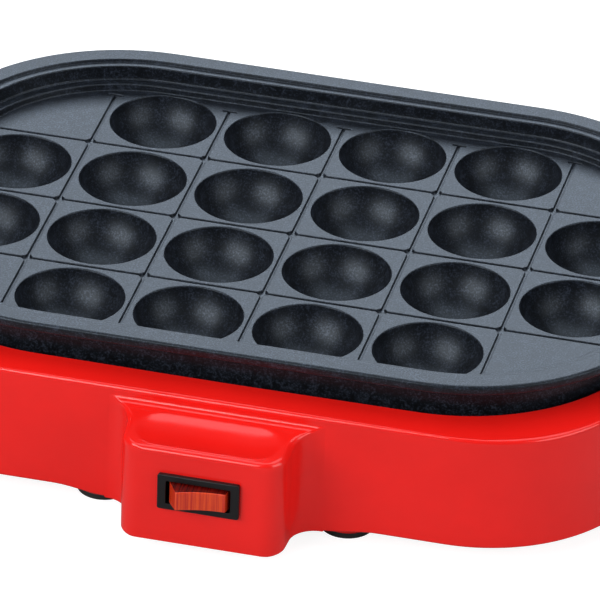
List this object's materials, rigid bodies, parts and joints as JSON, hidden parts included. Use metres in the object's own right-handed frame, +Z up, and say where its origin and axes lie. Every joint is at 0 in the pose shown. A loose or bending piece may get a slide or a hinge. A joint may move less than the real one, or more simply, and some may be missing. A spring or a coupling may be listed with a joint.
{
  "type": "takoyaki maker",
  "caption": "Countertop takoyaki maker with a lift-out cast plate of ball cavities in a red housing and an amber rocker switch.",
  "frame": {"origin": "middle of the whole object's bounding box in plan, on the table under the feet", "axes": "+X along the length, to the right as seen from the switch side; +Y from the switch to the rear wall; +Z up"},
  "size_m": [0.3, 0.2576, 0.0713],
  "materials": {
    "coating": "satin speckled non-stick coating",
    "red_plastic": "gloss",
    "tinned_steel": "satin",
    "zinc_steel": "satin",
    "heater_sheath": "heat-darkened",
    "insulator": "matte",
    "ceramic": "unglazed",
    "aluminium": "matte",
    "black_plastic": "semi-gloss",
    "amber_plastic": "translucent-looking, fine ribs",
    "lamp_glass": "clear",
    "brass": "plain",
    "black_sheath": "matte",
    "white_sheath": "matte",
    "foot_rubber": "matte"
  },
  "bodies": {
    "base": {"housing": "red_plastic", "bottom_cover": "red_plastic", "heat_shield": "tinned_steel", "shield_spacers": "insulator", "shield_screws": "zinc_steel", "heating_element": "heater_sheath", "heater_pins": "zinc_steel", "heater_bushes": "ceramic", "heater_clips": "tinned_steel", "clip_rivets": "zinc_steel", "thermostat_cap": "aluminium", "thermostat_body": "black_plastic", "thermostat_blades": "zinc_steel", "thermostat_screws": "zinc_steel", "thermal_fuse": "aluminium", "fuse_clip": "tinned_steel", "switch_frame": "black_plastic", "switch_lamp": "lamp_glass", "switch_blades": "brass", "terminal_block": "insulator", "terminal_sleeves": "brass", "terminal_screws": "zinc_steel", "block_screws": "zinc_steel", "cord_gland": "black_plastic", "cord_clamp": "black_plastic", "clamp_screws": "zinc_steel", "crimp_terminals": "brass", "live_lead": "black_sheath", "switched_lead": "white_sheath", "heater_lead": "white_sheath", "fuse_lead": "white_sheath", "neutral_lead": "white_sheath", "lamp_lead": "white_sheath", "cover_screws": "zinc_steel", "front_left_foot": "foot_rubber", "front_right_foot": "foot_rubber", "rear_left_foot": "foot_rubber", "rear_right_foot": "foot_rubber", "foot_screws": "zinc_steel"},
    "plate": {"cooking_plate": "coating"},
    "rocker_body": {"rocker": "amber_plastic"}
  },
  "joints": [
    {"name": "plate_lift", "type": "slide", "parent": "base", "child": "plate", "axis": [0, 0, 1], "range_m": [0, 0.06]},
    {"name": "rocker", "type": "hinge", "parent": "base", "child": "rocker_body", "pos_m": [0, -0.11816, 0.0294], "axis": [0, 0, 1], "range_deg": [-23, 0]}
  ]
}
